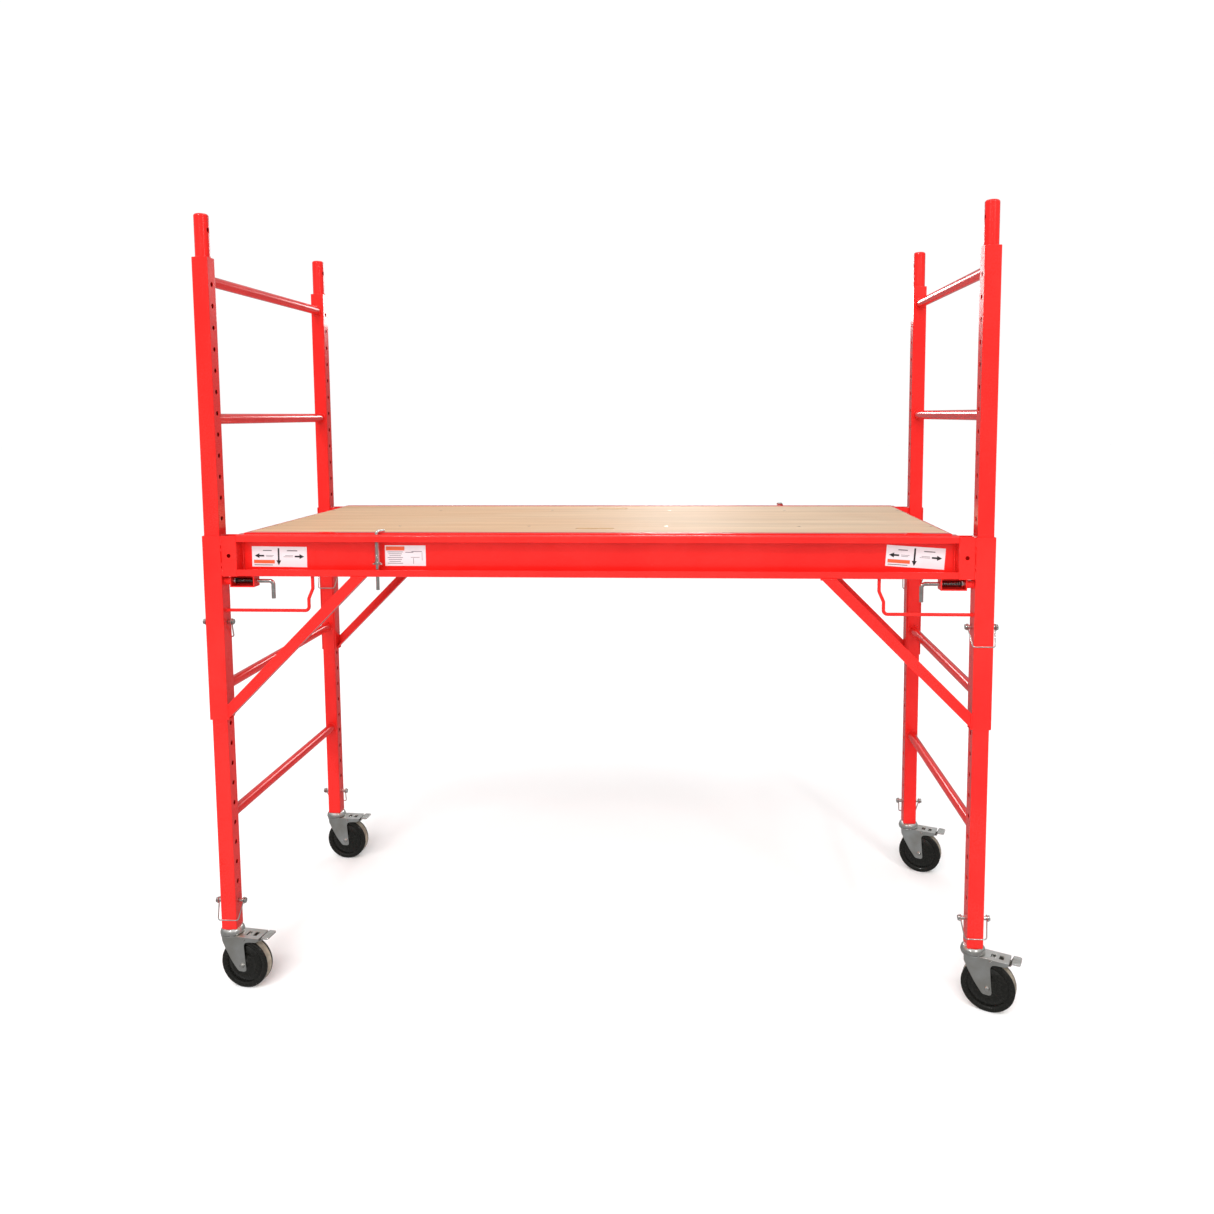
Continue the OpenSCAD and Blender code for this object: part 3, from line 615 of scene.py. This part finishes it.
def plywood():
    """Birch veneer with its figure along the deck, warmer at one end, and darker plies on the edges."""
    finish = Finish("birch_plywood", (0.7, 0.52, 0.33), 0.5)
    figure = finish.noise(1, finish.stretched((1.3, 26, 3)), detail=5, warp=0.9)
    fibre = finish.noise(1, finish.stretched((16, 520, 90)), detail=4)
    streak = finish.noise(1, finish.stretched((5, 90, 30)), detail=3).between(0.42, 0.72)
    smudge = finish.noise(1, finish.stretched((1.6, 2.4, 1)), detail=3, warp=0.6)
    warm = finish.blend(figure.between(0.3, 0.7), (0.68, 0.45, 0.275), (0.53, 0.325, 0.185))
    cool = finish.blend(figure.between(0.3, 0.7), (0.64, 0.49, 0.345), (0.48, 0.37, 0.26))
    face = finish.blend((finish.axis("X") * 0.55 + smudge).between(0.2, 0.9), warm, cool)
    face = finish.blend(0.34 * streak, face, (0.46, 0.31, 0.19))
    face = finish.blend(0.26 * fibre.between(0.35, 0.75), face, (0.40, 0.27, 0.16))
    ply_pair = 1.42 * MM
    ply = (finish.axis("Z") * (1 / ply_pair)).part() > 0.5
    edge = finish.blend(ply, (0.62, 0.44, 0.26), (0.30, 0.18, 0.10))
    normal = finish.add("ShaderNodeNewGeometry", output="Normal")
    level = finish.add("ShaderNodeSeparateXYZ", {}, {0: normal}, "XYZ".index("Z")).size()
    finish.vary(
        Base_Color=finish.blend(level.between(0.4, 0.6), edge, face),
        Roughness=0.42 + 0.2 * fibre + 0.08 * smudge,
    )
    finish.relief(fibre, 0.15 * MM, 0.35)
    return finish.material


finished("deck_panel", plywood(), "plywood", 0.5 * MM)
for node in ("deck_frame", "deck_cross_members"):
    finished(node, red, "red_powder_coat", 0.4 * MM)


def plated(name, dark, bright, rough, grain=40):
    """Zinc plate on steel: cloudy, with a fine drawn grain."""
    finish = Finish(name, bright, rough, 1.0)
    cloud = finish.noise(grain, detail=4)
    scratch = finish.noise(900, detail=2)
    finish.vary(
        Base_Color=finish.blend(cloud.between(0.3, 0.7), dark, bright),
        Roughness=rough + 0.16 * cloud + 0.05 * scratch,
    )
    return finish.material


zinc = plated("bright_zinc", (0.60, 0.58, 0.54), (0.92, 0.92, 0.90), 0.14)

# Countersunk heads with a cross recess, one at each point.
head_depth, head_radius, recess_length = 3 * MM, 5.2 * MM, 5.4 * MM
screw = Shape("countersunk_screws", Head="Float", Recess="Float")
cone = screw.add("GeometryNodeMeshCone", {}, {
    "Vertices": 24, "Radius Top": screw.given("Head"), "Radius Bottom": 0.6 * screw.given("Head"),
    "Depth": head_depth,
})
recess_turn = 0.4
blades = []
for turn in (0, math.pi / 2):
    size = screw.add("ShaderNodeCombineXYZ", {}, {
        0: screw.given("Recess"), 1: 0.22 * screw.given("Recess"), 2: 2 * head_depth / 3,
    })
    blade = screw.add("GeometryNodeMeshCube", {}, {"Size": size})
    blades.append(screw.add("GeometryNodeTransform", {}, {
        "Geometry": blade, "Translation": (0, 0, head_depth), "Rotation": (0, 0, turn + recess_turn),
    }))
cut = cone
for blade in blades:
    cut = screw.add("GeometryNodeMeshBoolean", {"operation": "DIFFERENCE"}, {"Mesh 1": cut, "Mesh 2": blade})
heads = screw.add("GeometryNodeInstanceOnPoints", {}, {"Points": screw.given("Geometry"), "Instance": cut})
screw.ends_in(heads, zinc)
head_sink, screw_row, screw_columns = 0.3 * MM, 198, (174, 508, 833)
screw_low = deck_high.z - head_depth - head_sink
screw_mesh = bpy.data.meshes.new("screw_places")
screw_mesh.from_pydata([
    (deck_mid.x + way * along * MM, deck_mid.y + side * screw_row * MM, screw_low)
    for along in screw_columns for way in (-1, 1) for side in (-1, 1)
], [], [])
heads_mesh = screw.made("deck_screw_heads", screw_mesh, Head=head_radius, Recess=recess_length)
on_body("deck_screw_heads", heads_mesh, "scaffold", "zinc_steel", "deck_screws")


# ---- Deck locks ----
# A hook of zinc plated rod stands in each rail and is pulled down over the deck's edge by a coil spring,
# which bears on a washer and a cross pin.

# A helix closed by a full ring at each end, as the ground ends of a spring.
coil = Shape("coil_spring", Wire="Float", Radius="Float", Length="Float", Turns="Float")
rise = coil.given("Length") - coil.given("Wire")
helix = coil.add("GeometryNodeCurveSpiral", {}, {
    "Resolution": 28, "Rotations": coil.given("Turns"), "Start Radius": coil.given("Radius"),
    "End Radius": coil.given("Radius"), "Height": rise,
})
near_end = coil.add("GeometryNodeCurvePrimitiveCircle", {}, {
    "Resolution": 28, "Radius": coil.given("Radius"),
})
far_end = coil.add("GeometryNodeTransform", {}, {
    "Geometry": near_end, "Translation": coil.add("ShaderNodeCombineXYZ", {}, {2: rise}),
})
windings = coil.add("GeometryNodeJoinGeometry")
for part in (helix, near_end, far_end):
    coil.tree.links.new(part.socket, windings.socket.node.inputs[0])
coil.ends_in(coil.swept(windings, coil.given("Wire") / 2, 8), zinc)


def spring(name, end_a, axis, length, radius, wire, turns, material, slot_name):
    """A coil spring that stands at end_a and runs along axis, in place of the node of its name."""
    bare = bpy.data.meshes.new(name)
    mesh = coil.made(name + "_coil", bare, Wire=wire, Radius=radius, Length=length, Turns=turns)
    turn = UP.rotation_difference(axis).to_matrix().to_4x4()
    mesh.transform(Matrix.Translation(end_a + axis * wire / 2) @ turn)
    mesh.materials.clear()
    mesh.materials.append(material)
    return on_body(name + "_coil", mesh, "scaffold", slot_name, name)


joints = {joint["name"]: joint for joint in frame["joints"]}


def joint_place(name):
    return Vector(joints[name]["pos_m"])


lock_washer_top, lock_spring_top, lock_lift = 1078.8, 1142, 8
lock_coil, lock_wire, lock_turns = 5.8, 1.4, 12
for end in ("front", "rear"):
    finished(f"deck_lock_rod_{end}", zinc, "zinc_steel", 0.1 * MM, 60)
    finished(f"deck_lock_washer_{end}", zinc, "zinc_steel", 0.2 * MM)
    foot = joint_place(f"deck_lock_{end}_turn")
    foot.z = lock_washer_top * MM
    length = lock_spring_top - lock_washer_top
    piece = spring(f"deck_lock_spring_{end}", foot, UP, length * MM, lock_coil * MM, lock_wire * MM,
                   lock_turns, zinc, "spring_steel")
    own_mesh(piece)


# ---- Latches ----
# An L-shaped rod in each housing, pushed into a hole of the post by a dark coil spring. Its leg is the
# handle that draws it back.

dark_steel = plated("dark_spring_steel", (0.05, 0.048, 0.045), (0.20, 0.19, 0.18), 0.2)
latch_collar, housing_face, latch_pull = 868, 820.5, 25
latch_coil, latch_wire, latch_turns = 6.7, 1.7, 12
length = latch_collar - housing_face
for corner in CORNERS:
    finished(f"latch_rod_{corner}", zinc, "zinc_steel", 0.1 * MM, 60)
    side = SIDES[corner][0]
    inner = outward(corner, housing_face, post_across, latch_height)
    piece = spring(f"latch_spring_{corner}", inner, ALONG * side, length * MM, latch_coil * MM,
                   latch_wire * MM, latch_turns, dark_steel, "spring_steel")
    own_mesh(piece)


# ---- Lock pins and bails ----
# Zinc plated pins through the sleeves and the casters' stems. A wire bail, coiled into an eye round each end
# of its pin, snaps under the post and keeps the pin in.

wire_bar = Shape("bent_wire", Radius="Float")
line = wire_bar.add("GeometryNodeMeshToCurve", {}, {"Mesh": wire_bar.given("Geometry")})
wire_bar.ends_in(wire_bar.swept(line, wire_bar.given("Radius"), 12), zinc)


def eased(points, radius, steps=7):
    """The same line with each inner corner drawn as a curve that starts and ends at radius from it."""
    line = [points[0]]
    for before, corner_point, after in zip(points, points[1:], points[2:]):
        start = corner_point + (before - corner_point).normalized() * radius
        end = corner_point + (after - corner_point).normalized() * radius
        for step in range(steps + 1):
            share = step / steps
            line.append(start * (1 - share) ** 2 + corner_point * 2 * share * (1 - share) + end * share ** 2)
    return line + [points[-1]]


wire, bend_radius = 3.0, 6
eye_radius, eye_turns, eye_steps = 6.6, 1.75, 18
eye_start, eye_pitch, eye_lag = 34.2, 2.046, 0.6
leg_along, bar_along, leg_start, hang = 30.4, 25.5, 8, 42
clear_of_sleeve, clear_of_post = 24.55, 21.15
finished("sleeve_lock_pins", zinc, "zinc_steel", 0.4 * MM)
finished("caster_lock_pins", zinc, "zinc_steel", 0.4 * MM)
for kind in ("sleeve", "caster"):
    for corner in CORNERS:
        name = f"{kind}_pin_bail_{corner}"
        middle = joint_place(f"{name}_swing")
        way = joints[f"{name}_swing"]["axis"][0]
        clear = clear_of_sleeve if kind == "sleeve" and corner in ("fr", "rr") else clear_of_post
        down = Vector((0, way * clear, -hang))
        reach = down.length
        down.normalize()
        beyond = ALONG.cross(down)
        bend = eased([
            Vector((-leg_along, leg_start, 0)), Vector((-bar_along, reach, 0)),
            Vector((bar_along, reach, 0)), Vector((leg_along, leg_start, 0)),
        ], bend_radius)
        right_eye = []
        for step in range(int(eye_turns * eye_steps)):
            turn = math.tau * step / eye_steps - eye_lag
            along = eye_start - eye_pitch * step / eye_steps
            right_eye.append(Vector((along, eye_radius * math.cos(turn), eye_radius * math.sin(turn))))
        left_eye = [Vector((-point.x, point.y, point.z)) for point in right_eye]
        bail = left_eye + bend + right_eye[::-1]
        path = [middle + (ALONG * p.x + down * p.y + beyond * p.z) * MM for p in bail]
        mesh = wire_bar.made(name + "_wire", lines_mesh(name, path), Radius=wire / 2 * MM)
        on_body(name + "_wire", mesh, name, "zinc_steel", name)


# ---- Casters ----
# A plated stem in each post carries a pressed steel fork on a ball race. The solid black wheel turns on a
# bolt through the fork, and a foot pedal behind it brakes the wheel.

fork_zinc = plated("fork_zinc", (0.62, 0.60, 0.55), (0.86, 0.87, 0.86), 0.22, 22)
finished("caster_stems", zinc, "zinc_steel", 0.6 * MM)
finished("swivel_balls", zinc, "zinc_steel", 0.01 * MM, 80)


def rubber():
    """Hard black rubber, moulded shiny, with a little dust."""
    finish = Finish("black_tyre", (0.006, 0.006, 0.005), 0.3)
    finish.shader.inputs["Coat Weight"].default_value = 0.35
    finish.shader.inputs["Coat Roughness"].default_value = 0.1
    finish.shader.inputs["Specular IOR Level"].default_value = 0.3
    cloud = finish.noise(60, detail=4)
    dust = finish.noise(260, detail=3)
    finish.vary(
        Base_Color=finish.blend(dust.between(0.45, 0.8), (0.004, 0.004, 0.003), (0.014, 0.013, 0.011)),
        Roughness=0.20 + 0.16 * cloud,
    )
    return finish.material


def worn_tread():
    """The running band, mottled light brown, much lighter than the black sides."""
    finish = Finish("worn_tread", (0.30, 0.25, 0.19), 0.8)
    mottle = finish.noise(45, detail=5, warp=0.8)
    finish.vary(
        Base_Color=finish.blend(mottle.between(0.3, 0.72), (0.16, 0.13, 0.10), (0.42, 0.36, 0.28)),
        Roughness=0.7 + 0.2 * mottle,
    )
    finish.relief(mottle, 0.2 * MM, 0.5)
    return finish.material


tyre, tread = rubber(), worn_tread()
# The wheel's outline: radius and distance from its middle plane, in millimetres, from the bore over the hub,
# a raised ring and the groove to the rounded shoulder and the edge of the tread.
face_profile = [
    (5.2, 18.3), (12.5, 18.3), (13.6, 17.7), (14.2, 15.6), (31.4, 15.2), (32.2, 15.8), (33.2, 15.8),
    (34.2, 15.2), (46.4, 14.7), (47.2, 12.8), (48.4, 12.6), (51.2, 15.5), (52.2, 16), (57.5, 16),
]
shoulder_radius, shoulder_at, shoulder_steps = 5, (57.5, 11), 7
shoulder = []
for step in range(1, shoulder_steps + 1):
    turn = math.pi / 2 * step / shoulder_steps
    shoulder.append((
        shoulder_at[0] + shoulder_radius * math.sin(turn), shoulder_at[1] + shoulder_radius * math.cos(turn),
    ))
half_profile = face_profile + shoulder + [(62.5, 9.2), (62.1, 8.4)]
wheel_profile = half_profile + [(radius, -along) for radius, along in reversed(half_profile)]
wheel_steps, tread_from = 112, 60


def wheel_mesh(name, place):
    """The wheel turned round its axle, the closed profile swept through a full circle."""
    shape = bmesh.new()
    rows = []
    for step in range(wheel_steps):
        turn = math.tau * step / wheel_steps
        rows.append([
            shape.verts.new((radius * math.cos(turn) * MM, radius * math.sin(turn) * MM, along * MM))
            for radius, along in wheel_profile
        ])
    count = len(wheel_profile)
    for step, row in enumerate(rows):
        following = rows[(step + 1) % wheel_steps]
        for n in range(count):
            after = (n + 1) % count
            face = shape.faces.new((row[n], row[after], following[after], following[n]))
            face.smooth = True
            radius, along = wheel_profile[n]
            face.material_index = int(along > 0 > wheel_profile[after][1] and radius > tread_from)
    bmesh.ops.recalc_face_normals(shape, faces=shape.faces)
    mesh = bpy.data.meshes.new(name)
    shape.to_mesh(mesh)
    shape.free()
    mesh.transform(place)
    mesh.materials.append(tyre)
    mesh.materials.append(tread)
    return mesh


# Each fork's cheeks are pressed in ahead of a crease, towards the wheel.
crease, cheek_inside, cheek_top = 14 * MM, 17 * MM, 131 * MM
press_slope, press_depth = 0.10, 3.2 * MM
for corner in CORNERS:
    axle = Vector(joints[f"caster_{corner}_roll"]["axis"]).normalized()
    middle = joint_place(f"caster_{corner}_roll")
    swivel = joint_place(f"caster_{corner}_swivel")
    back = axle.cross(UP)
    place = Matrix.Translation(middle) @ Matrix((back, UP.copy(), axle)).transposed().to_4x4()
    name = f"caster_wheel_{corner}_turned"
    on_body(name, wheel_mesh(name, place), f"caster_wheel_{corner}", "black_tyre", f"caster_wheel_{corner}")

    yoke = finished(f"caster_yoke_{corner}", fork_zinc, "zinc_steel", 1.0 * MM)
    press = bmesh.new()
    press.from_mesh(yoke.data)
    trailing = (middle - swivel).copy()
    trailing.z = 0
    trailing.normalize()
    bmesh.ops.bisect_plane(
        press, geom=press.verts[:] + press.edges[:] + press.faces[:], plane_co=swivel + trailing * crease,
        plane_no=trailing, dist=0.01 * MM,
    )
    for vert in press.verts:
        offset = vert.co - swivel
        before = crease - offset.dot(trailing)
        outwards = offset.dot(axle)
        if before > 0.1 * MM and vert.co.z < cheek_top and abs(outwards) > cheek_inside:
            vert.co -= axle * math.copysign(min(before * press_slope, press_depth), outwards)
    press.to_mesh(yoke.data)
    press.free()
    finished(f"caster_axle_{corner}", zinc, "zinc_steel", 1.0 * MM)
    finished(f"brake_pedal_{corner}", zinc, "zinc_steel", 0.8 * MM)
